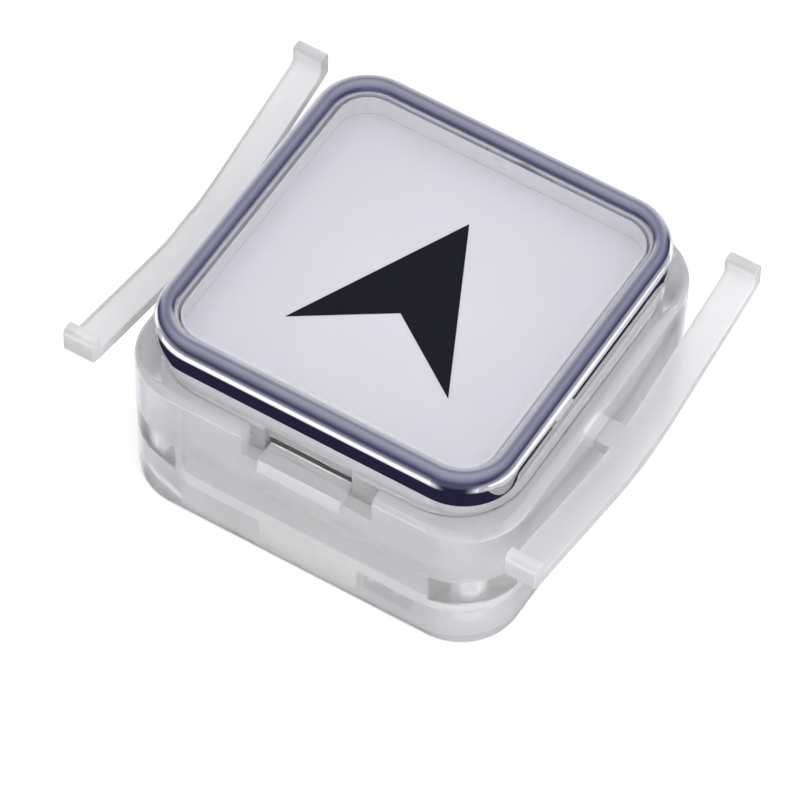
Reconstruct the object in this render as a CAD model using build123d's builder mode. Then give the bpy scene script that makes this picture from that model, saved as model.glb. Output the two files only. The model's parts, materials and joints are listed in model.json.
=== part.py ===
from build123d import *
import math
import os

os.makedirs("parts", exist_ok=True)

# Square call button. Millimetres. Origin on the back plane, at the centre. +Z leaves the face, +Y is the
# arrow's direction, +X is to the right of the arrow.

# Housing cup
CUP_HALF_BACK = 19.15
CUP_DRAFT = 0.9
CUP_RADIUS = 6.0
CUP_TOP = 16.5
CUP_TOP_ROUND = 0.8
CUP_BACK_ROUND = 0.6
CAVITY_HALF = 18.05
CAVITY_RADIUS = 7.0
POST_INNER = 13.0
POST_OUTER = 18.3
SCREW_POS = 14.6

# Circuit board level
BOARD_BACK = 3.2
BOARD_TOP = 4.8
BOARD_HALF = 17.7
BOARD_RADIUS = 6.8

# Collar
COLLAR_HALF = 17.9
COLLAR_RADIUS = 7.2
COLLAR_BACK = 8.2
COLLAR_TOP = 18.8
COLLAR_BORE_HALF = 16.9
COLLAR_BORE_RADIUS = 6.2
SHELF_TOP = 9.2
SHELF_HALF = 10.5
FLANGE_BACK = 15.6
FLANGE_HALF = 15.85
FLANGE_RADIUS = 3.35
SPIGOT_TOP = 20.0
SPIGOT_OUTER = 17.2
SPIGOT_OUTER_RADIUS = 5.2
SPIGOT_INNER = 16.6
SPIGOT_INNER_RADIUS = 4.3

# Latch in the front and back walls, as seen on the front (-Y) wall
NOTCH_LEFT = -5.6
NOTCH_RIGHT = 7.6
NOTCH_FLOOR = 13.5
TONGUE_LEFT = -3.9
TONGUE_RIGHT = 4.6
TONGUE_TOP = 14.2
WINDOW_LEFT = -4.2
WINDOW_RIGHT = 4.7
WINDOW_TOP = 16.9

# Bezel: its section is an outer flank, a tight crown and an inner flank, each an arc
BEZEL_HALF = 18.0
BEZEL_RADIUS = 5.5
BEZEL_BACK = 18.8
BEZEL_TOP = 22.2
OUTER_FLANK_RADIUS = 2.3
OUTER_FLANK_ARC = 30
CROWN_RADIUS = 0.92
CROWN_ARC = 110
INNER_FLANK_RADIUS = 1.6
INNER_FLANK_ARC = 40

# Cap and what moves with it
CAP_HALF = 15.65
CAP_RADIUS = 3.15
CAP_TOP = 21.3
CAP_EDGE_ROUND = 0.35
CARRIER_BACK = 13.7
CARRIER_TOP = 15.4
CARRIER_HALF = 16.65
LEGEND_BACK = 16.7
LEGEND_TOP = 16.9
ARROW_TOP = 16.95
DIFFUSER_BLOCK_BACK = 13.2

# Switch
STEM_TOP = 9.8
SWITCH_HALF = 3.0
SWITCH_BASE_TOP = 7.6

# Return springs
SPRING_POS = 13.3
SPRING_RADIUS = 1.5
SPRING_WIRE = 0.2
SPRING_TURNS = 5

# Leaf-spring wings
WING_INNER = 20.9
WING_OUTER = 24.0
WING_THICK = 1.3
WING_ROOT_HALF = 1.4
WING_PIVOT_Y = 2.1
WING_PIVOT_Z = 12.45
WING_END_Y = 19.5
WING_END_Z = 16.9
LIP_THICK = 1.3
LIP_TOP = 18.5


def rounded(half, radius):
    """Draw a rounded square of the given half width in the current sketch."""
    RectangleRounded(2 * half, 2 * half, radius)


# Cup: drafted square tube with corner posts, latch notches and tongues, and the wing roots
with BuildPart() as housing_cup:
    with BuildSketch(Plane.XY):
        rounded(CUP_HALF_BACK, CUP_RADIUS - 0.2)
    extrude(amount=CUP_TOP, taper=-CUP_DRAFT)
    fillet(housing_cup.edges().group_by(Axis.Z)[-1], CUP_TOP_ROUND)
    fillet(housing_cup.edges().group_by(Axis.Z)[0], CUP_BACK_ROUND)
    with BuildSketch(Plane.XY):
        rounded(CAVITY_HALF, CAVITY_RADIUS)
    extrude(amount=CUP_TOP, mode=Mode.SUBTRACT)
    with BuildSketch(Plane.XY.offset(BOARD_TOP)):
        rounded(CAVITY_HALF + 0.3, CAVITY_RADIUS)
        Rectangle(2 * POST_INNER, 2 * POST_OUTER, mode=Mode.SUBTRACT)
        Rectangle(2 * POST_OUTER, 2 * POST_INNER, mode=Mode.SUBTRACT)
    extrude(amount=COLLAR_BACK - BOARD_TOP)
    with BuildSketch(Plane.XY.offset(BOARD_TOP)):
        with GridLocations(2 * SCREW_POS, 2 * SCREW_POS, 2, 2):
            Circle(1.05)
    extrude(amount=COLLAR_BACK - BOARD_TOP - 0.4, mode=Mode.SUBTRACT)
    for sign in (-1, 1):
        with BuildSketch(Plane.XY.offset(NOTCH_FLOOR)):
            with Locations((-sign * (NOTCH_LEFT + NOTCH_RIGHT) / 2, sign * 18.8)):
                Rectangle(NOTCH_RIGHT - NOTCH_LEFT, 3.0)
        extrude(amount=CUP_TOP - NOTCH_FLOOR, mode=Mode.SUBTRACT)
        with BuildSketch(Plane.YZ.offset(TONGUE_LEFT if sign < 0 else -TONGUE_RIGHT)):
            with BuildLine():
                Polyline(
                    (sign * 18.2, 11.6),
                    (sign * 19.2, 11.6),
                    (sign * 19.75, 12.6),
                    (sign * 19.55, TONGUE_TOP),
                    (sign * 17.3, TONGUE_TOP),
                    (sign * 17.3, 13.75),
                    (sign * 18.2, 13.2),
                    close=True,
                )
            make_face()
        extrude(amount=TONGUE_RIGHT - TONGUE_LEFT)
    for sign in (-1, 1):
        with BuildSketch(Plane.XY.offset(WING_PIVOT_Z - WING_THICK / 2)):
            with Locations((sign * (WING_OUTER + 19.0) / 2, 0)):
                Rectangle(WING_OUTER - 19.0, 2 * WING_ROOT_HALF)
        extrude(amount=WING_THICK)
housing_cup.part.label = "housing_cup"
export_step(housing_cup.part, "parts/housing_cup.step")

# Collar: inner tube with spring shelf, retaining flange, bezel spigot and latch windows
with BuildPart() as housing_collar:
    with BuildSketch(Plane.XY.offset(COLLAR_BACK)):
        rounded(COLLAR_HALF, COLLAR_RADIUS)
    extrude(amount=COLLAR_TOP - COLLAR_BACK)
    with BuildSketch(Plane.XY.offset(COLLAR_TOP)):
        rounded(SPIGOT_OUTER, SPIGOT_OUTER_RADIUS)
    extrude(amount=SPIGOT_TOP - COLLAR_TOP)
    with BuildSketch(Plane.XY.offset(COLLAR_TOP)):
        rounded(SPIGOT_INNER, SPIGOT_INNER_RADIUS)
    extrude(amount=SPIGOT_TOP - COLLAR_TOP, mode=Mode.SUBTRACT)
    with BuildSketch(Plane.XY.offset(FLANGE_BACK)):
        rounded(FLANGE_HALF, FLANGE_RADIUS)
    extrude(amount=COLLAR_TOP - FLANGE_BACK, mode=Mode.SUBTRACT)
    with BuildSketch(Plane.XY.offset(SHELF_TOP)):
        rounded(COLLAR_BORE_HALF, COLLAR_BORE_RADIUS)
    extrude(amount=FLANGE_BACK - SHELF_TOP, mode=Mode.SUBTRACT)
    with BuildSketch(Plane.XY.offset(COLLAR_BACK)):
        rounded(SHELF_HALF, 2.0)
    extrude(amount=SHELF_TOP - COLLAR_BACK, mode=Mode.SUBTRACT)
    for sign in (-1, 1):
        middle = -sign * (WINDOW_LEFT + WINDOW_RIGHT) / 2
        with BuildSketch(Plane.XY.offset(13.4)):
            with Locations((middle, sign * 17.2)):
                Rectangle(WINDOW_RIGHT - WINDOW_LEFT, 1.6)
        extrude(amount=1.5, mode=Mode.SUBTRACT)
        with BuildSketch(Plane.XY.offset(14.9)):
            with Locations((middle, sign * 17.7)):
                Rectangle(WINDOW_RIGHT - WINDOW_LEFT, 0.8)
        extrude(amount=WINDOW_TOP - 14.9, mode=Mode.SUBTRACT)
housing_collar.part.label = "housing_collar"
export_step(housing_collar.part, "parts/housing_collar.step")

# Bezel: plated ring. One side and one corner are drawn, then turned to all four; grooved for the spigot
FLANK_START = (
    BEZEL_TOP
    - CROWN_RADIUS * (1 - math.sin(math.radians(OUTER_FLANK_ARC)))
    - OUTER_FLANK_RADIUS * math.sin(math.radians(OUTER_FLANK_ARC))
)
BEZEL_STRAIGHT = BEZEL_HALF - BEZEL_RADIUS
with BuildSketch(Plane.YZ.offset(-BEZEL_STRAIGHT)) as ring_section:
    with BuildLine():
        wall = Line((-BEZEL_HALF, BEZEL_BACK), (-BEZEL_HALF, FLANK_START))
        outer_flank = JernArc(wall @ 1, (0, 1), OUTER_FLANK_RADIUS, -OUTER_FLANK_ARC)
        crown = JernArc(outer_flank @ 1, outer_flank % 1, CROWN_RADIUS, -CROWN_ARC)
        inner_flank = JernArc(crown @ 1, crown % 1, INNER_FLANK_RADIUS, -INNER_FLANK_ARC)
        bore = Line(inner_flank @ 1, ((inner_flank @ 1).X, BEZEL_BACK))
        Line(bore @ 1, wall @ 0)
    make_face()
with BuildPart() as bezel_side:
    extrude(ring_section.sketch, amount=2 * BEZEL_STRAIGHT)
    revolve(ring_section.sketch, axis=Axis((-BEZEL_STRAIGHT, -BEZEL_STRAIGHT, 0), (0, 0, -1)),
            revolution_arc=90)
with BuildPart() as chrome_bezel:
    with PolarLocations(0, 4):
        add(bezel_side.part)
    with BuildSketch(Plane.XY.offset(BEZEL_BACK)):
        rounded(SPIGOT_OUTER + 0.1, SPIGOT_OUTER_RADIUS)
        RectangleRounded(2 * SPIGOT_INNER - 0.2, 2 * SPIGOT_INNER - 0.2, SPIGOT_INNER_RADIUS - 0.1,
                         mode=Mode.SUBTRACT)
    extrude(amount=SPIGOT_TOP - BEZEL_BACK + 0.1, mode=Mode.SUBTRACT)
chrome_bezel.part.label = "chrome_bezel"
export_step(chrome_bezel.part, "parts/chrome_bezel.step")

# Clear cap: thick solid lens that lies on the printed film
with BuildPart() as clear_cap:
    with BuildSketch(Plane.XY.offset(ARROW_TOP)):
        rounded(CAP_HALF, CAP_RADIUS)
    extrude(amount=CAP_TOP - ARROW_TOP)
    fillet(clear_cap.edges().group_by(Axis.Z)[-1], CAP_EDGE_ROUND)
clear_cap.part.label = "clear_cap"
export_step(clear_cap.part, "parts/clear_cap.step")

# Legend and arrow
with BuildPart() as legend_plate:
    with BuildSketch(Plane.XY.offset(LEGEND_BACK)):
        rounded(CAP_HALF, CAP_RADIUS)
    extrude(amount=LEGEND_TOP - LEGEND_BACK)
legend_plate.part.label = "legend_plate"
export_step(legend_plate.part, "parts/legend_plate.step")

with BuildPart() as arrow_marker:
    with BuildSketch(Plane.XY.offset(LEGEND_TOP)):
        with BuildLine():
            Polyline((0, 9.3), (8.33, -8.03), (0, -2.34), (-8.33, -8.03), close=True)
        make_face()
    extrude(amount=ARROW_TOP - LEGEND_TOP)
arrow_marker.part.label = "arrow_marker"
export_step(arrow_marker.part, "parts/arrow_marker.step")

# Diffuser: light plate, block through the carrier and pusher post on the switch
with BuildPart() as light_diffuser:
    with BuildSketch(Plane.XY.offset(CARRIER_TOP)):
        rounded(CAP_HALF, CAP_RADIUS)
    extrude(amount=LEGEND_BACK - CARRIER_TOP)
    with BuildSketch(Plane.XY.offset(DIFFUSER_BLOCK_BACK)):
        rounded(12.8, 3.9)
    extrude(amount=CARRIER_TOP - DIFFUSER_BLOCK_BACK)
    with BuildSketch(Plane.XY.offset(STEM_TOP)):
        Circle(2.0)
    extrude(amount=DIFFUSER_BLOCK_BACK - STEM_TOP)
light_diffuser.part.label = "light_diffuser"
export_step(light_diffuser.part, "parts/light_diffuser.step")

# Carrier: frame that holds the cap in under the collar's flange
with BuildPart() as cap_carrier:
    with BuildSketch(Plane.XY.offset(CARRIER_BACK)):
        rounded(CARRIER_HALF, 6.0)
        RectangleRounded(26.0, 26.0, 4.0, mode=Mode.SUBTRACT)
    extrude(amount=CARRIER_TOP - CARRIER_BACK)
cap_carrier.part.label = "cap_carrier"
export_step(cap_carrier.part, "parts/cap_carrier.step")

# Return springs
SPRING_NAMES = {
    "return_spring_front_left": (-SPRING_POS, -SPRING_POS),
    "return_spring_front_right": (SPRING_POS, -SPRING_POS),
    "return_spring_rear_left": (-SPRING_POS, SPRING_POS),
    "return_spring_rear_right": (SPRING_POS, SPRING_POS),
}
SPRING_FOOT = SHELF_TOP + SPRING_WIRE
SPRING_LENGTH = CARRIER_BACK - SHELF_TOP - 2 * SPRING_WIRE
for spring_name, (x, y) in SPRING_NAMES.items():
    with BuildPart() as return_spring:
        with BuildLine():
            coil = Helix(pitch=SPRING_LENGTH / SPRING_TURNS, height=SPRING_LENGTH, radius=SPRING_RADIUS,
                         center=(x, y, SPRING_FOOT))
        with BuildSketch(Plane(origin=coil @ 0, z_dir=coil % 0)):
            Circle(SPRING_WIRE)
        sweep(path=coil, is_frenet=True)
    return_spring.part.label = spring_name
    export_step(return_spring.part, "parts/" + spring_name + ".step")

# Circuit board with screw, switch-leg and connector holes
LEG_X = 3.25
LEG_Y = 2.25
PIN_PITCH = 2.0
PIN_Y = -15.3
CONNECTOR_X = 0.5
with BuildPart() as circuit_board:
    with BuildSketch(Plane.XY.offset(BOARD_BACK)):
        rounded(BOARD_HALF, BOARD_RADIUS)
        with GridLocations(2 * SCREW_POS, 2 * SCREW_POS, 2, 2):
            Circle(1.1, mode=Mode.SUBTRACT)
        with GridLocations(2 * LEG_X, 2 * LEG_Y, 2, 2):
            Rectangle(0.5, 0.9, mode=Mode.SUBTRACT)
        with Locations((CONNECTOR_X, PIN_Y)):
            with GridLocations(PIN_PITCH, 0, 4, 1):
                Rectangle(0.7, 0.7, mode=Mode.SUBTRACT)
    extrude(amount=BOARD_TOP - BOARD_BACK)
circuit_board.part.label = "circuit_board"
export_step(circuit_board.part, "parts/circuit_board.step")

# Switch: base with a dome chamber, cover plate, stem, dome and legs
with BuildPart() as switch_base:
    with BuildSketch(Plane.XY.offset(BOARD_TOP)):
        Rectangle(2 * SWITCH_HALF, 2 * SWITCH_HALF)
    extrude(amount=SWITCH_BASE_TOP - BOARD_TOP)
    with BuildSketch(Plane.XY.offset(BOARD_TOP + 0.5)):
        Circle(2.4)
    extrude(amount=SWITCH_BASE_TOP - BOARD_TOP - 0.5, mode=Mode.SUBTRACT)
switch_base.part.label = "switch_base"
export_step(switch_base.part, "parts/switch_base.step")

with BuildPart() as switch_cover:
    with BuildSketch(Plane.XY.offset(SWITCH_BASE_TOP)):
        Rectangle(2 * SWITCH_HALF, 2 * SWITCH_HALF)
        Circle(1.8, mode=Mode.SUBTRACT)
    extrude(amount=0.3)
switch_cover.part.label = "switch_cover"
export_step(switch_cover.part, "parts/switch_cover.step")

with BuildPart() as switch_stem:
    with BuildSketch(Plane.XY.offset(6.5)):
        Circle(2.1)
    extrude(amount=1.0)
    with BuildSketch(Plane.XY.offset(7.5)):
        Circle(1.6)
    extrude(amount=STEM_TOP - 7.5)
switch_stem.part.label = "switch_stem"
export_step(switch_stem.part, "parts/switch_stem.step")

DOME_FOOT = BOARD_TOP + 0.5
with BuildPart() as switch_dome:
    with BuildSketch(Plane.XZ):
        with BuildLine():
            Polyline(
                (0, 6.5),
                (0.8, 6.42),
                (1.6, 6.05),
                (2.3, DOME_FOOT),
                (2.18, DOME_FOOT),
                (1.52, 5.93),
                (0.76, 6.3),
                (0, 6.38),
                close=True,
            )
        make_face()
    revolve(axis=Axis.Z)
switch_dome.part.label = "switch_dome"
export_step(switch_dome.part, "parts/switch_dome.step")

with BuildPart() as switch_legs:
    with BuildSketch(Plane.XY.offset(BOARD_BACK - 0.8)):
        with GridLocations(2 * LEG_X, 2 * LEG_Y, 2, 2):
            Rectangle(0.3, 0.7)
    extrude(amount=BOARD_TOP - BOARD_BACK + 2.0)
switch_legs.part.label = "switch_legs"
export_step(switch_legs.part, "parts/switch_legs.step")

# Lamps: four surface-mount packages around the switch
LED_POINTS = [(7.6, 0), (-7.6, 0), (0, 7.6), (0, -7.6)]
with BuildPart() as led_bodies:
    with BuildSketch(Plane.XY.offset(BOARD_TOP)):
        with Locations(LED_POINTS):
            Rectangle(3.5, 2.8)
    extrude(amount=1.9)
    with BuildSketch(Plane.XY.offset(BOARD_TOP + 1.2)):
        with Locations(LED_POINTS):
            Circle(1.15)
    extrude(amount=0.7, mode=Mode.SUBTRACT)
led_bodies.part.label = "led_bodies"
export_step(led_bodies.part, "parts/led_bodies.step")

with BuildPart() as led_lenses:
    with BuildSketch(Plane.XY.offset(BOARD_TOP + 1.2)):
        with Locations(LED_POINTS):
            Circle(1.1)
    extrude(amount=0.6)
led_lenses.part.label = "led_lenses"
export_step(led_lenses.part, "parts/led_lenses.step")

# Resistors on the board's face
with BuildPart() as resistors:
    with BuildSketch(Plane.XY.offset(BOARD_TOP)):
        with Locations((7.5, 7.5), (-7.5, 7.5)):
            Rectangle(3.2, 1.6)
    extrude(amount=0.6)
resistors.part.label = "resistors"
export_step(resistors.part, "parts/resistors.step")

# Rectifier under the board, against the front wall
RECTIFIER_X = 8.55
RECTIFIER_Y = -15.4
with BuildPart() as rectifier:
    with BuildSketch(Plane.XY.offset(0.75)):
        with Locations((RECTIFIER_X, RECTIFIER_Y)):
            Rectangle(4.7, 3.9)
    extrude(amount=2.3)
rectifier.part.label = "rectifier"
export_step(rectifier.part, "parts/rectifier.step")

with BuildPart() as rectifier_leads:
    with BuildSketch(Plane.XY.offset(BOARD_BACK - 0.15)):
        with Locations((RECTIFIER_X, RECTIFIER_Y)):
            with GridLocations(2.6, 3.8, 2, 2):
                Rectangle(0.6, 1.3)
    extrude(amount=0.15)
rectifier_leads.part.label = "rectifier_leads"
export_step(rectifier_leads.part, "parts/rectifier_leads.step")

# Wire connector: low shrouded header that opens at the back
with BuildPart() as connector_shell:
    with BuildSketch(Plane.XY.offset(0.1)):
        with Locations((CONNECTOR_X, PIN_Y)):
            Rectangle(10.1, 4.4)
    extrude(amount=BOARD_BACK - 0.1)
    with BuildSketch(Plane.XY.offset(0.1)):
        with Locations((CONNECTOR_X, PIN_Y)):
            Rectangle(8.7, 3.0)
    extrude(amount=2.3, mode=Mode.SUBTRACT)
    with BuildSketch(Plane.XY.offset(2.4)):
        with Locations((CONNECTOR_X, PIN_Y)):
            with GridLocations(PIN_PITCH, 0, 4, 1):
                Rectangle(0.6, 0.6)
    extrude(amount=0.8, mode=Mode.SUBTRACT)
connector_shell.part.label = "connector_shell"
export_step(connector_shell.part, "parts/connector_shell.step")

with BuildPart() as connector_pins:
    with BuildSketch(Plane.XY.offset(0.5)):
        with Locations((CONNECTOR_X, PIN_Y)):
            with GridLocations(PIN_PITCH, 0, 4, 1):
                Rectangle(0.5, 0.5)
    extrude(amount=BOARD_TOP + 0.1)
connector_pins.part.label = "connector_pins"
export_step(connector_pins.part, "parts/connector_pins.step")

# Board screws: pan heads under the board, shanks into the cup's posts
with BuildPart() as board_screws:
    with BuildSketch(Plane.XY.offset(BOARD_BACK - 1.2)):
        with GridLocations(2 * SCREW_POS, 2 * SCREW_POS, 2, 2):
            Circle(1.8)
    extrude(amount=1.2)
    with BuildSketch(Plane.XY.offset(BOARD_BACK)):
        with GridLocations(2 * SCREW_POS, 2 * SCREW_POS, 2, 2):
            Circle(1.0)
    extrude(amount=4.2)
    with BuildSketch(Plane.XY.offset(BOARD_BACK - 1.2)):
        with GridLocations(2 * SCREW_POS, 2 * SCREW_POS, 2, 2):
            Rectangle(1.9, 0.45)
            Rectangle(0.45, 1.9)
    extrude(amount=0.6, mode=Mode.SUBTRACT)
board_screws.part.label = "board_screws"
export_step(board_screws.part, "parts/board_screws.step")

# Wing arms: strip from the root to an upturned lip, rounded where it flexes
RISE = math.atan2(WING_END_Z - WING_THICK / 2 - WING_PIVOT_Z, WING_END_Y - WING_PIVOT_Y)
NORMAL_Y = -math.sin(RISE) * WING_THICK / 2
NORMAL_Z = math.cos(RISE) * WING_THICK / 2
SLOPE = math.tan(RISE)
ARM_NAMES = {
    "wing_arm_front_left": (-1, -1),
    "wing_arm_rear_left": (-1, 1),
    "wing_arm_front_right": (1, -1),
    "wing_arm_rear_right": (1, 1),
}
for arm_name, (side, end) in ARM_NAMES.items():
    lip_y = WING_END_Y - LIP_THICK
    top_at_lip = WING_PIVOT_Z + NORMAL_Z + SLOPE * (lip_y - WING_PIVOT_Y - NORMAL_Y)
    bottom_at_end = WING_PIVOT_Z - NORMAL_Z + SLOPE * (WING_END_Y - WING_PIVOT_Y + NORMAL_Y)
    top_root = (end * (WING_PIVOT_Y + NORMAL_Y), WING_PIVOT_Z + NORMAL_Z)
    bottom_root = (end * (WING_PIVOT_Y - NORMAL_Y), WING_PIVOT_Z - NORMAL_Z)
    root_back = (end * (WING_PIVOT_Y - math.cos(RISE) * WING_THICK / 2),
                 WING_PIVOT_Z - math.sin(RISE) * WING_THICK / 2)
    with BuildPart() as wing_arm:
        with BuildSketch(Plane.YZ.offset(WING_INNER if side > 0 else -WING_OUTER)):
            with BuildLine():
                Polyline(
                    bottom_root,
                    (end * WING_END_Y, bottom_at_end),
                    (end * WING_END_Y, LIP_TOP),
                    (end * lip_y, LIP_TOP),
                    (end * lip_y, top_at_lip),
                    top_root,
                )
                ThreePointArc(top_root, root_back, bottom_root)
            make_face()
        extrude(amount=WING_OUTER - WING_INNER)
        lip_edges = wing_arm.edges().filter_by(Axis.X).filter_by_position(Axis.Z, LIP_TOP - 0.01, LIP_TOP + 0.01)
        fillet(lip_edges, 0.45)
        foot = wing_arm.edges().filter_by(Axis.X).filter_by_position(Axis.Z, bottom_at_end - 0.01,
                                                                     bottom_at_end + 0.01)
        fillet(foot, 0.4)
    wing_arm.part.label = arm_name
    export_step(wing_arm.part, "parts/" + arm_name + ".step")
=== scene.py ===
import json
import math

import bmesh
import bpy
from mathutils import Matrix, Vector


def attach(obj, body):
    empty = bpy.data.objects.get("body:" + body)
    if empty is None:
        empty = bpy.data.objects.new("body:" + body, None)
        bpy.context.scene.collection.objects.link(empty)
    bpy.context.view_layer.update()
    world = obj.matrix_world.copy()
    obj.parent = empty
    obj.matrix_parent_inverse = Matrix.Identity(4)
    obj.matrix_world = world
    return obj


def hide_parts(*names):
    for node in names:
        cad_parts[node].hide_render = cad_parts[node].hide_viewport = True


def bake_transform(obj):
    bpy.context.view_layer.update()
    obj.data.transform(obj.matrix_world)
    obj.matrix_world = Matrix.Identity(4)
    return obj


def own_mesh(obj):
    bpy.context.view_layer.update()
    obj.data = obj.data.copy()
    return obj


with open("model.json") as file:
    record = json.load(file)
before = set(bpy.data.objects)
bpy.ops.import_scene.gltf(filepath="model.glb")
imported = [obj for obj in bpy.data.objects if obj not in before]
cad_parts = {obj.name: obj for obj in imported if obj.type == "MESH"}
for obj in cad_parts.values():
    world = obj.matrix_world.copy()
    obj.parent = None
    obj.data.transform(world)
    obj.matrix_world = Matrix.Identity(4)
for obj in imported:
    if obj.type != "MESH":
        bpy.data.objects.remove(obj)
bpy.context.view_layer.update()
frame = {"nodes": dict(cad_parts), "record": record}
nodes = frame["nodes"]
scene = bpy.context.scene
scene.view_settings.view_transform = "Standard"
MM = 0.001


# ---------------------------------------------------------------- materials

def noise(tree, scale, detail=4.0, rough=0.55):
    coords = tree.nodes.new("ShaderNodeTexCoord")
    tex = tree.nodes.new("ShaderNodeTexNoise")
    tex.inputs["Scale"].default_value = scale
    tex.inputs["Detail"].default_value = detail
    tex.inputs["Roughness"].default_value = rough
    tree.links.new(coords.outputs["Object"], tex.inputs["Vector"])
    return tex.outputs["Fac"]


def ramp(tree, source, low, high, start=0.35, end=0.65):
    node = tree.nodes.new("ShaderNodeValToRGB")
    node.color_ramp.elements[0].position = start
    node.color_ramp.elements[0].color = low
    node.color_ramp.elements[1].position = end
    node.color_ramp.elements[1].color = high
    tree.links.new(source, node.inputs["Fac"])
    return node.outputs["Color"]


def bump(tree, shader, source, strength, distance):
    node = tree.nodes.new("ShaderNodeBump")
    node.inputs["Strength"].default_value = strength
    node.inputs["Distance"].default_value = distance
    tree.links.new(source, node.inputs["Height"])
    tree.links.new(node.outputs["Normal"], shader.inputs["Normal"])


def surface(name, color, vary=0.04, scale=300.0, roughness=0.5, rough_vary=0.06, metallic=0.0,
            smear_detail=6.0, grain=0.15, grain_scale=2500.0, grain_depth=0.00002, **sockets):
    """A finish with slow colour drift, uneven roughness and a fine grain in relief."""
    mat = bpy.data.materials.new(name)
    mat.use_nodes = True
    tree = mat.node_tree
    shader = tree.nodes["Principled BSDF"]
    low = tuple(max(0.0, c * (1 - vary)) for c in color) + (1.0,)
    high = tuple(min(1.0, c * (1 + vary)) for c in color) + (1.0,)
    drift = noise(tree, scale)
    tree.links.new(ramp(tree, drift, low, high), shader.inputs["Base Color"])
    shader.inputs["Roughness"].default_value = roughness
    if rough_vary:
        r_low = (max(0.0, roughness - rough_vary),) * 3 + (1.0,)
        r_high = (roughness + rough_vary,) * 3 + (1.0,)
        smear = noise(tree, scale * 0.6, smear_detail, 0.7)
        tree.links.new(ramp(tree, smear, r_low, r_high), shader.inputs["Roughness"])
    shader.inputs["Metallic"].default_value = metallic
    for socket, value in sockets.items():
        shader.inputs[socket.replace("_", " ")].default_value = value
    if grain:
        bump(tree, shader, noise(tree, grain_scale, 3.0), grain, grain_depth)
    return mat


milky = surface("milky_plastic", (0.94, 0.942, 0.955), vary=0.012, scale=140.0, roughness=0.18,
                rough_vary=0.02, smear_detail=1.0, grain=0.0, Transmission_Weight=0.77, IOR=1.46)
# A darker, less clear copy of the cup's plastic for the leaves and the cup's root blocks: painted shade that
# tones down how brightly the leaves are lit
milky_leaf_painted_shade = surface("milky_leaf_painted_shade", (0.745, 0.745, 0.755), vary=0.012, scale=140.0, roughness=0.24,
                     rough_vary=0.02, smear_detail=1.0, grain=0.0, Transmission_Weight=0.6, IOR=1.46)
chrome = surface("chrome", (0.70, 0.70, 0.715), vary=0.03, roughness=0.035, rough_vary=0.02, metallic=1.0,
                 grain=0.0)
clear = surface("clear_plastic", (0.99, 0.99, 0.995), vary=0.004, roughness=0.0, rough_vary=0.0, grain=0.0,
                Transmission_Weight=1.0, IOR=1.49)
satin_edge = surface("satin_edge", (0.94, 0.94, 0.96), vary=0.01, roughness=0.32, grain=0.08,
                     Transmission_Weight=0.35, IOR=1.49)
white_film = surface("white_film", (0.925, 0.918, 0.99), vary=0.006, scale=120.0, roughness=0.45, grain=0.05)
black_print = surface("black_print", (0.006, 0.006, 0.008), vary=0.1, roughness=0.5, grain=0.05,
                      Specular_IOR_Level=0.0)
white_plastic = surface("white_plastic", (0.92, 0.92, 0.92), vary=0.02, roughness=0.45)
board = surface("board_laminate", (0.84, 0.85, 0.84), vary=0.03, roughness=0.3)
black_plastic = surface("black_plastic", (0.022, 0.022, 0.025), vary=0.1, roughness=0.4)
tinned = surface("tinned_steel", (0.66, 0.66, 0.67), vary=0.06, roughness=0.25, metallic=1.0)
spring_steel = surface("spring_steel", (0.5, 0.5, 0.53), vary=0.08, roughness=0.28, metallic=1.0)
lamp_resin = surface("lamp_resin", (0.92, 0.78, 0.25), vary=0.04, roughness=0.3)
ceramic = surface("black_ceramic", (0.03, 0.03, 0.032), vary=0.1, roughness=0.25)
dark_resin = surface("dark_resin", (0.07, 0.07, 0.075), vary=0.1, roughness=0.45)
nylon = surface("natural_nylon", (0.88, 0.86, 0.8), vary=0.02, roughness=0.4)
brass = surface("tinned_brass", (0.7, 0.68, 0.6), vary=0.05, roughness=0.25, metallic=1.0)
zinc = surface("zinc_steel", (0.6, 0.61, 0.65), vary=0.08, roughness=0.3, metallic=1.0)

FINISH = {
    "milky_plastic": milky, "chrome": chrome, "clear_plastic": clear, "white_film": white_film,
    "black_print": black_print, "white_plastic": white_plastic, "board_laminate": board,
    "black_plastic": black_plastic, "tinned_steel": tinned, "spring_steel": spring_steel,
    "lamp_resin": lamp_resin, "black_ceramic": ceramic, "dark_resin": dark_resin,
    "natural_nylon": nylon, "tinned_brass": brass, "zinc_steel": zinc,
}
for entry in frame["record"]["subparts"]:
    mesh = nodes[entry["node"]].data
    mesh.materials.clear()
    mesh.materials.append(FINISH[entry["material_slot"]])


# ---------------------------------------------------------------- pieces

def mesh_object(name, verts, faces, mat):
    """A smooth shaded mesh from points in millimetres."""
    mesh = bpy.data.meshes.new(name)
    mesh.from_pydata([tuple(c * MM for c in v) for v in verts], [], faces)
    mesh.materials.append(mat)
    obj = bpy.data.objects.new(name, mesh)
    scene.collection.objects.link(obj)
    for poly in mesh.polygons:
        poly.use_smooth = True
    return obj


def apply_modifiers(obj):
    depsgraph = bpy.context.evaluated_depsgraph_get()
    baked = bpy.data.meshes.new_from_object(obj.evaluated_get(depsgraph))
    obj.modifiers.clear()
    obj.data = baked
    return obj


EDGE_ROUND = 0.12
EDGE_ANGLE = 50


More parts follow.
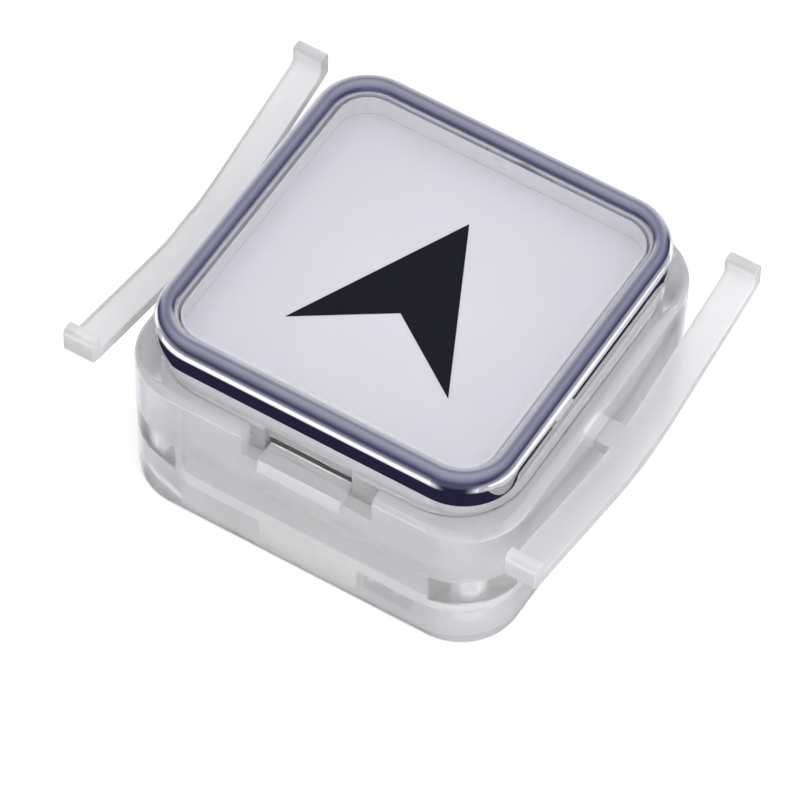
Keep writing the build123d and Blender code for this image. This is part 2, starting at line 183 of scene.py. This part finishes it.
def extruded(name, outline, x0, x1, mat):
    """A flat outline in Y and Z, pushed from x0 to x1, its edges softened and its last side left open."""
    count = len(outline)
    verts = [(x0, y, z) for y, z in outline] + [(x1, y, z) for y, z in outline]
    faces = [tuple(range(count)), tuple(reversed(range(count, 2 * count)))]
    for i in range(count - 1):
        faces.append((i, i + count, i + count + 1, i + 1))
    obj = mesh_object(name, verts, faces, mat)
    bm = bmesh.new()
    bm.from_mesh(obj.data)
    bmesh.ops.recalc_face_normals(bm, faces=bm.faces)
    bm.to_mesh(obj.data)
    bm.free()
    bevel = obj.modifiers.new("soften", "BEVEL")
    bevel.width = EDGE_ROUND * MM
    bevel.segments = 3
    bevel.limit_method = "ANGLE"
    bevel.angle_limit = math.radians(EDGE_ANGLE)
    bevel.harden_normals = True
    return apply_modifiers(obj)


CORNERS = (("front_left", -1, -1), ("front_right", 1, -1), ("rear_left", -1, 1), ("rear_right", 1, 1))

# Leaf springs: one smooth strip from the root block to the upturned lip, in millimetres
WING_X = (20.9, 24.0)
ROOT_X = 19.5
ROOT_Y = 1.4
PIVOT = (2.1, 12.45)
HALF_THICK = 0.65
END_Y = 19.5
END_Z = 16.25
LIP_THICK = 1.3
LIP_TOP = 18.5
LEAD = 1.0
SOFTNESS = 2.0
SAMPLES = 40
HEEL_ROUND = 0.5
LIP_ROUND = 0.45
INNER_ROUND = 0.35
CROOK_STEP = (-0.12, 0.1)


def arc(cy, cz, radius, start, stop, steps=6):
    """Points on an arc in Y and Z, from one angle in degrees to another."""
    points = []
    for i in range(steps + 1):
        angle = math.radians(start + (stop - start) * i / steps)
        points.append((cy + radius * math.cos(angle), cz + radius * math.sin(angle)))
    return points


def leaf_outline():
    """The leaf from the side: Y along it, Z up."""
    slope = (END_Z - PIVOT[1]) / (END_Y - PIVOT[0])
    tilt = math.atan(slope)
    drop = HALF_THICK / math.cos(tilt)

    def middle(y):
        t = max(0.0, y - PIVOT[0] + LEAD)
        ease = t - SOFTNESS * math.tanh(t / SOFTNESS)
        return PIVOT[1] + (END_Z - PIVOT[1]) * ease / (END_Y - PIVOT[0] + LEAD - SOFTNESS)

    lip_y = END_Y - LIP_THICK
    samples = [ROOT_Y + (lip_y - ROOT_Y) * i / SAMPLES for i in range(SAMPLES + 1)]
    under = [(y, middle(y) - drop) for y in samples]
    over = [(y, middle(y) + drop) for y in samples]
    foot = middle(END_Y) - drop
    outline = under[:]
    outline += arc(END_Y - HEEL_ROUND, foot + HEEL_ROUND, HEEL_ROUND, -80, 0)
    outline += arc(END_Y - LIP_ROUND, LIP_TOP - LIP_ROUND, LIP_ROUND, 0, 90)
    outline += arc(lip_y + INNER_ROUND, LIP_TOP - INNER_ROUND, INNER_ROUND, 90, 180)
    crook = over[-1][1]
    outline += [(lip_y, crook + INNER_ROUND), (lip_y + CROOK_STEP[0], crook + CROOK_STEP[1])]
    outline += list(reversed(over[:-1]))
    return outline


LEAVES = (("front_left", -1, -1), ("rear_left", -1, 1), ("front_right", 1, -1), ("rear_right", 1, 1))
# Each leaf wears the darker copy of the plastic, a painted shade
for place, side, end in LEAVES:
    x0, x1 = sorted((side * WING_X[0], side * WING_X[1]))
    leaf = extruded("leaf_" + place, [(end * y, z) for y, z in leaf_outline()], x0, x1, milky_leaf_painted_shade)
    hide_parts("wing_arm_" + place)
    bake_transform(leaf)


def copy_of(node, name):
    """A free copy of a CAD node's mesh, to be reworked and to stand in for it."""
    piece = nodes[node].copy()
    piece.data = nodes[node].data.copy()
    piece.name = name
    piece.parent = None
    piece.matrix_world = nodes[node].matrix_world.copy()
    scene.collection.objects.link(piece)
    return piece


# How far along an axis a face's normal points, for the face to count as facing that way
FACING = 0.9
UPRIGHT = 0.8

# The cup again, open where the leaves grow out of its two root blocks
cup = copy_of("housing_cup", "cup_with_roots")
bm = bmesh.new()
bm.from_mesh(cup.data)
for side in (-1, 1):
    geometry = bm.verts[:] + bm.edges[:] + bm.faces[:]
    bmesh.ops.bisect_plane(bm, geom=geometry, plane_co=(side * WING_X[0] * MM, 0, 0), plane_no=(1, 0, 0))
ends = [f for f in bm.faces
        if abs(f.calc_center_median().x) > WING_X[0] * MM and abs(f.normal.y) > FACING]
bmesh.ops.delete(bm, geom=ends, context="FACES")
bm.to_mesh(cup.data)
bm.free()
# The root blocks take the leaves' darker copy of the plastic, a painted shade
cup.data.materials.append(milky_leaf_painted_shade)
for poly in cup.data.polygons:
    if abs(poly.center.x) > ROOT_X * MM:
        poly.material_index = 1
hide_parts("housing_cup")
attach(cup, "housing")

# The cap again, open underneath: it is bonded to the film, with no layer of air between them
lens_block = copy_of("clear_cap", "bonded_lens")
bm = bmesh.new()
bm.from_mesh(lens_block.data)
bmesh.ops.delete(bm, geom=[f for f in bm.faces if f.normal.z < -FACING], context="FACES")
bm.to_mesh(lens_block.data)
bm.free()
lens_block.data.materials.append(satin_edge)
for poly in lens_block.data.polygons:
    if abs(poly.normal.z) < UPRIGHT:
        poly.material_index = 1
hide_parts("clear_cap")
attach(lens_block, "cap")


# Return springs and the switch's dome
DEAD_TURNS = 0.7


def coil(name, x, y, foot, top, radius, wire, turns, mat, steps=24, sides=10):
    """A compression spring with flat turns at both ends."""
    verts = []
    faces = []
    total = int(turns * steps)
    for i in range(total + 1):
        angle = 2 * math.pi * i / steps
        share = i / total
        ease = min(1.0, max(0.0, (share * turns - DEAD_TURNS) / (turns - 2 * DEAD_TURNS)))
        z = foot + wire + (top - foot - 2 * wire) * ease
        for k in range(sides):
            phi = 2 * math.pi * k / sides
            r = radius + wire * math.cos(phi)
            verts.append((x + r * math.cos(angle), y + r * math.sin(angle), z + wire * math.sin(phi)))
    for i in range(total):
        for k in range(sides):
            a = i * sides + k
            b = i * sides + (k + 1) % sides
            faces.append((a, b, b + sides, a + sides))
    faces.append(tuple(reversed(range(sides))))
    faces.append(tuple(range(total * sides, (total + 1) * sides)))
    return mesh_object(name, verts, faces, mat)


SPRING_POS = 13.3
SPRING_FOOT = 9.2
SPRING_HEIGHT = 4.5
SPRING_RADIUS = 1.5
SPRING_WIRE = 0.2
SPRING_TURNS = 6.4
for place, sx, sy in CORNERS:
    spring = coil("coil_" + place, sx * SPRING_POS, sy * SPRING_POS, SPRING_FOOT, SPRING_FOOT + SPRING_HEIGHT,
                  SPRING_RADIUS, SPRING_WIRE, SPRING_TURNS, spring_steel)
    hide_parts("return_spring_" + place)
    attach(spring, "housing")
    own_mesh(spring)

DOME = ((0.0, 6.5), (0.4, 6.48), (0.8, 6.42), (1.2, 6.27), (1.6, 6.05), (1.95, 5.72), (2.3, 5.3),
        (2.18, 5.3), (1.86, 5.62), (1.52, 5.93), (1.14, 6.15), (0.76, 6.3), (0.38, 6.36), (0.0, 6.38))


def turned(name, profile, mat, steps=48):
    """A profile of radius and height, turned about the Z axis."""
    bm = bmesh.new()
    chain = [bm.verts.new((r * MM, 0, z * MM)) for r, z in profile]
    edges = [bm.edges.new((a, b)) for a, b in zip(chain, chain[1:])]
    bmesh.ops.spin(bm, geom=chain + edges, cent=(0, 0, 0), axis=(0, 0, 1), angle=2 * math.pi, steps=steps)
    bmesh.ops.remove_doubles(bm, verts=bm.verts, dist=1e-6)
    bmesh.ops.recalc_face_normals(bm, faces=bm.faces)
    mesh = bpy.data.meshes.new(name)
    bm.to_mesh(mesh)
    bm.free()
    mesh.materials.append(mat)
    for poly in mesh.polygons:
        poly.use_smooth = True
    obj = bpy.data.objects.new(name, mesh)
    scene.collection.objects.link(obj)
    return obj


dome = turned("snap_dome", DOME, tinned)
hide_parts("switch_dome")
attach(dome, "housing")
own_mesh(dome)

# Solder around the switch's four legs, on the back of the board
LEG_X = 3.25
LEG_Y = 2.25
SOLDER = ((0.0, 2.55), (0.22, 2.56), (0.34, 2.72), (0.5, 2.98), (0.62, 3.1), (0.75, 3.17), (0.75, 3.2),
          (0.0, 3.2))
for place, sx, sy in CORNERS:
    solder = turned("solder_" + place, SOLDER, tinned, steps=24)
    solder.data.transform(Matrix.Translation((sx * LEG_X * MM, sy * LEG_Y * MM, 0)))
    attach(solder, "housing")


# ---------------------------------------------------------------- studio

def stage_plane(name, size, location, mat):
    bpy.ops.mesh.primitive_plane_add(size=size, location=location)
    plane = bpy.context.object
    plane.name = name
    plane.data.materials.append(mat)
    return plane


floor_mat = surface("studio_floor", (0.96, 0.96, 0.963), vary=0.004, scale=6.0, roughness=0.9, grain=0.0)
floor = stage_plane("studio_floor", 3.0, (0, 0, 0), floor_mat)
# Mirror-like rays miss the floor and see the studio's dark lower part instead
floor.visible_glossy = False

world = bpy.data.worlds.new("studio")
scene.world = world
world.use_nodes = True
wt = world.node_tree
background = wt.nodes["Background"]
coords = wt.nodes.new("ShaderNodeTexCoord").outputs["Generated"]


def wire(value, socket):
    """Link an output to a socket, or set a constant on it."""
    if isinstance(value, (int, float, tuple)):
        socket.default_value = value
    else:
        wt.links.new(value, socket)


def calc(operation, a, b, c=0.0):
    node = wt.nodes.new("ShaderNodeMath")
    node.operation = operation
    for value, socket in zip((a, b, c), node.inputs):
        wire(value, socket)
    return node.outputs[0]


def step(value, low, high):
    """0 below low and 1 above high, smooth in between."""
    node = wt.nodes.new("ShaderNodeMapRange")
    node.interpolation_type = "SMOOTHSTEP"
    wire(value, node.inputs["Value"])
    node.inputs["From Min"].default_value = low
    node.inputs["From Max"].default_value = high
    return node.outputs["Result"]


def blend_color(factor, a, b):
    node = wt.nodes.new("ShaderNodeMix")
    node.data_type = "RGBA"
    wire(factor, node.inputs["Factor"])
    wire(a, node.inputs["A"])
    wire(b, node.inputs["B"])
    return node.outputs["Result"]


def bands(height, stops):
    """Colour by height: -1 straight down, 1 straight up."""
    node = wt.nodes.new("ShaderNodeValToRGB")
    elements = node.color_ramp.elements
    while len(elements) < len(stops):
        elements.new(0.5)
    for element, (level, color) in zip(elements, stops):
        element.position = (level + 1) / 2
        element.color = color + (1.0,)
    wire(calc("MULTIPLY_ADD", height, 0.5, 0.5), node.inputs["Fac"])
    return node.outputs["Color"]


def toward(azimuth):
    """Cosine between a direction's azimuth and this one, which counts from -Y towards +X."""
    angle = math.radians(azimuth)
    dot = wt.nodes.new("ShaderNodeVectorMath")
    dot.operation = "DOT_PRODUCT"
    wt.links.new(flat, dot.inputs[0])
    dot.inputs[1].default_value = (math.sin(angle), -math.cos(angle), 0)
    return dot.outputs["Value"]


split = wt.nodes.new("ShaderNodeSeparateXYZ")
wt.links.new(coords, split.inputs[0])
height = split.outputs["Z"]
level_only = wt.nodes.new("ShaderNodeVectorMath")
level_only.operation = "MULTIPLY"
wt.links.new(coords, level_only.inputs[0])
level_only.inputs[1].default_value = (1, 1, 0)
unit = wt.nodes.new("ShaderNodeVectorMath")
unit.operation = "NORMALIZE"
wt.links.new(level_only.outputs["Vector"], unit.inputs[0])
flat = unit.outputs["Vector"]

# What polished things see: a low lamp on the near side, with a dark gap in it, and a pale wall behind
DARK = (0.02, 0.018, 0.045)
LAMP = (1.3, 1.3, 1.34)
ZENITH = (0.37, 0.37, 0.46)
GLOW = (0.5, 0.5, 0.55)
DUSK = (0.05, 0.048, 0.1)
HAZE = (0.085, 0.083, 0.15)
SKY = (0.2, 0.2, 0.3)
NEAR_AZIMUTH = 30
GAP_AZIMUTH = 18
lamps = bands(height, ((-1.0, DARK), (-0.75, DARK), (-0.67, LAMP), (-0.49, LAMP), (-0.4, GLOW),
                       (-0.28, (0.3, 0.3, 0.36)), (-0.14, DUSK), (0.2, HAZE), (0.55, SKY), (1.0, ZENITH)))
gap = bands(height, ((-1.0, DARK), (-0.5, DARK), (-0.3, HAZE), (0.05, HAZE), (0.45, SKY), (1.0, ZENITH)))
far = bands(height, ((-1.0, (0.7, 0.7, 0.74)), (-0.3, (0.72, 0.72, 0.76)), (0.3, (0.52, 0.52, 0.58)),
                     (0.62, (0.33, 0.33, 0.42)), (0.8, (0.22, 0.22, 0.32)), (1.0, ZENITH)))
near = blend_color(step(toward(GAP_AZIMUTH), 0.72, 0.97), lamps, gap)
studio_view = blend_color(step(toward(NEAR_AZIMUTH), -0.85, -0.6), far, near)

# Mirror-like rays see the studio, and so do those that bounced inside the clear cap. All others see a softbox
path = wt.nodes.new("ShaderNodeLightPath").outputs
mirrored = calc("MULTIPLY", path["Is Glossy Ray"], path["Is Reflection Ray"])
direct = calc("LESS_THAN", path["Diffuse Depth"], 0.5)
bounced = calc("GREATER_THAN", path["Glossy Depth"], 0.5)
inside = calc("MULTIPLY", calc("MULTIPLY", path["Is Singular Ray"], bounced), direct)
polished = calc("MAXIMUM", mirrored, inside)
SOFTBOX = (1.16, 1.16, 1.16, 1.0)
wt.links.new(blend_color(polished, SOFTBOX, studio_view), background.inputs["Color"])
background.inputs["Strength"].default_value = 1.25
LIT_POINT = Vector((0, 0, 0.01))


def area_light(name, location, size, power):
    """A square lamp that faces the part, and has no reflection of its own."""
    data = bpy.data.lights.new(name, "AREA")
    data.size = size
    data.energy = power
    light = bpy.data.objects.new(name, data)
    light.location = location
    light.rotation_euler = (LIT_POINT - light.location).to_track_quat("-Z", "Y").to_euler()
    scene.collection.objects.link(light)
    light.visible_glossy = False
    light.visible_transmission = False
    return light


area_light("key", (0.45, -0.12, 0.15), 0.25, 1.4)

# ---------------------------------------------------------------- camera

AZIMUTH = math.radians(29.973)
ELEVATION = math.radians(53.657)
ROLL = math.radians(1.893)
DISTANCE = 0.568361
SLIDE_RIGHT = -0.001261
SLIDE_UP = -0.009211
AIM = Vector((0, 0, 0.0188))
SENSOR_WIDTH = 36.0
FOCAL_LENGTH = 292.29
back = Vector((math.sin(AZIMUTH) * math.cos(ELEVATION), -math.cos(AZIMUTH) * math.cos(ELEVATION),
               math.sin(ELEVATION)))
level = Vector((math.cos(AZIMUTH), math.sin(AZIMUTH), 0))
lift = back.cross(level)
right = math.cos(ROLL) * level + math.sin(ROLL) * lift
up = -math.sin(ROLL) * level + math.cos(ROLL) * lift
lens = bpy.data.cameras.new("camera")
lens.sensor_width = SENSOR_WIDTH
lens.lens = FOCAL_LENGTH
lens.clip_end = 10.0
camera = bpy.data.objects.new("camera", lens)
turn = Matrix((right, up, back)).transposed().to_4x4()
camera.matrix_world = Matrix.Translation(AIM + back * DISTANCE + right * SLIDE_RIGHT + up * SLIDE_UP) @ turn
scene.collection.objects.link(camera)
scene.camera = camera
